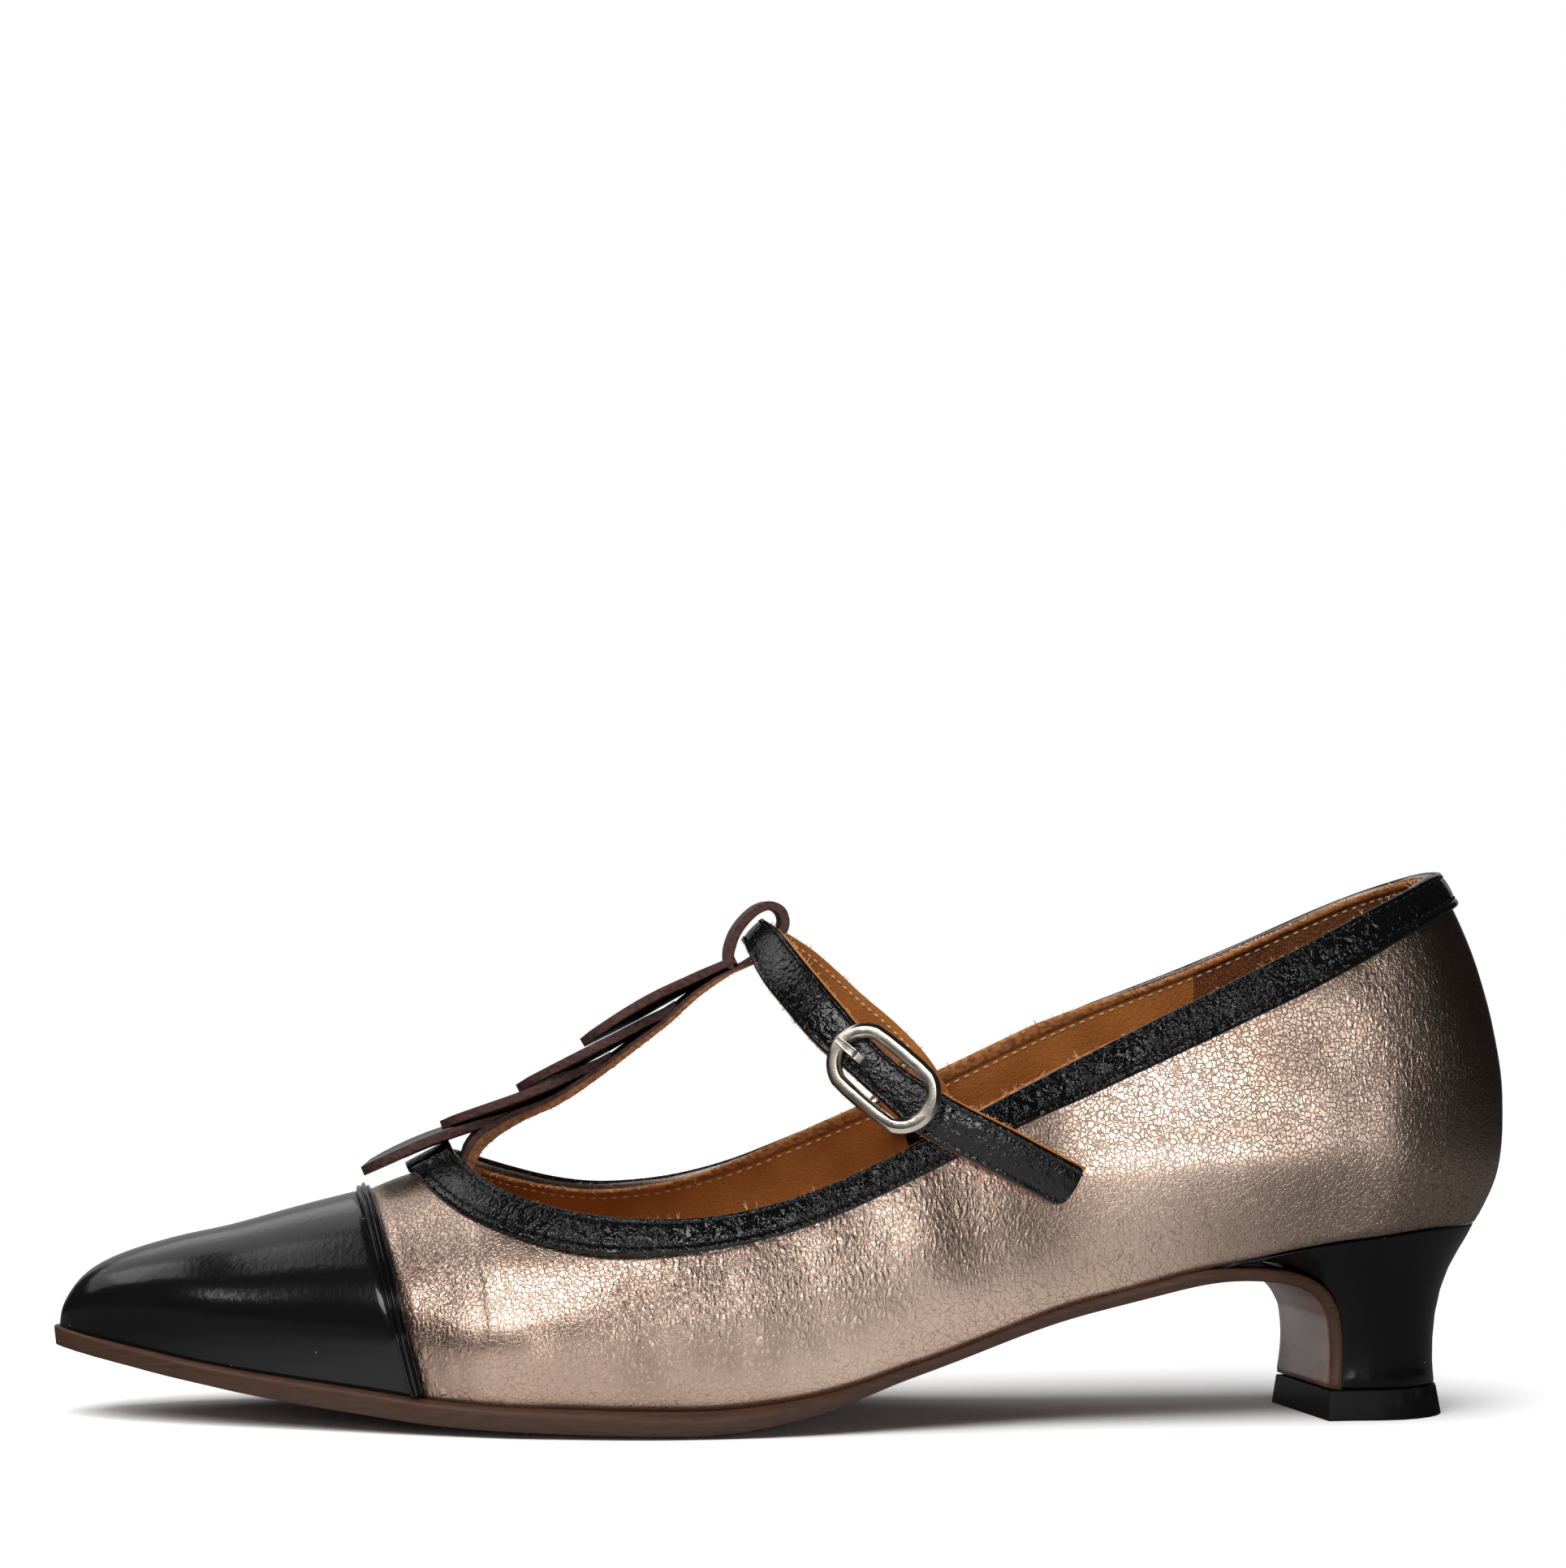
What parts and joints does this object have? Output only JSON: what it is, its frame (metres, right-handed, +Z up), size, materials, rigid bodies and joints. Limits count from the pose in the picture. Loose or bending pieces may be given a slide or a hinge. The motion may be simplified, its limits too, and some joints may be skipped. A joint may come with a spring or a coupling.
{
  "type": "women's t-bar pump",
  "caption": "Low-heeled pump in metallic leather with a patent toe cap, bound topline, petalled T-bar and a buckled ankle strap.",
  "frame": {"origin": "centre of the top lift's resting face, on the floor under the heel", "axes": "-X towards the toe, -Y to the outer side of the left foot, +Z up"},
  "size_m": [0.2604, 0.0845, 0.0982],
  "materials": {
    "metallic_leather": "rose-gold metallic, pebbled grain, semi-gloss",
    "insole_leather": "tan, smooth, matt",
    "heel_patent": "black patent, high gloss",
    "lift_rubber": "black, matt",
    "sole_leather": "reddish brown, burnished edge",
    "cap_patent": "black patent, high gloss",
    "trim_patent": "black crinkled patent, gloss",
    "bar_leather": "black and dark brown, tan suede lining, satin",
    "petal_leather": "dark brown raw edges, gloss faces",
    "strap_patent": "black crinkled patent, tan lining, gloss",
    "buckle_metal": "antique silver, polished"
  },
  "bodies": {
    "root": {"upper": "metallic_leather", "insole": "insole_leather", "heel": "heel_patent", "top_lift": "lift_rubber", "outsole": "sole_leather", "toe_cap": "cap_patent", "cap_piping": "cap_patent", "topline_trim": "trim_patent", "t_bar": "bar_leather", "petal_1": "petal_leather", "petal_2": "petal_leather", "petal_3": "petal_leather", "petal_4": "petal_leather", "ankle_strap": "strap_patent", "buckle_frame": "buckle_metal", "buckle_prong": "buckle_metal", "buckle_tab": "strap_patent"}
  },
  "joints": []
}
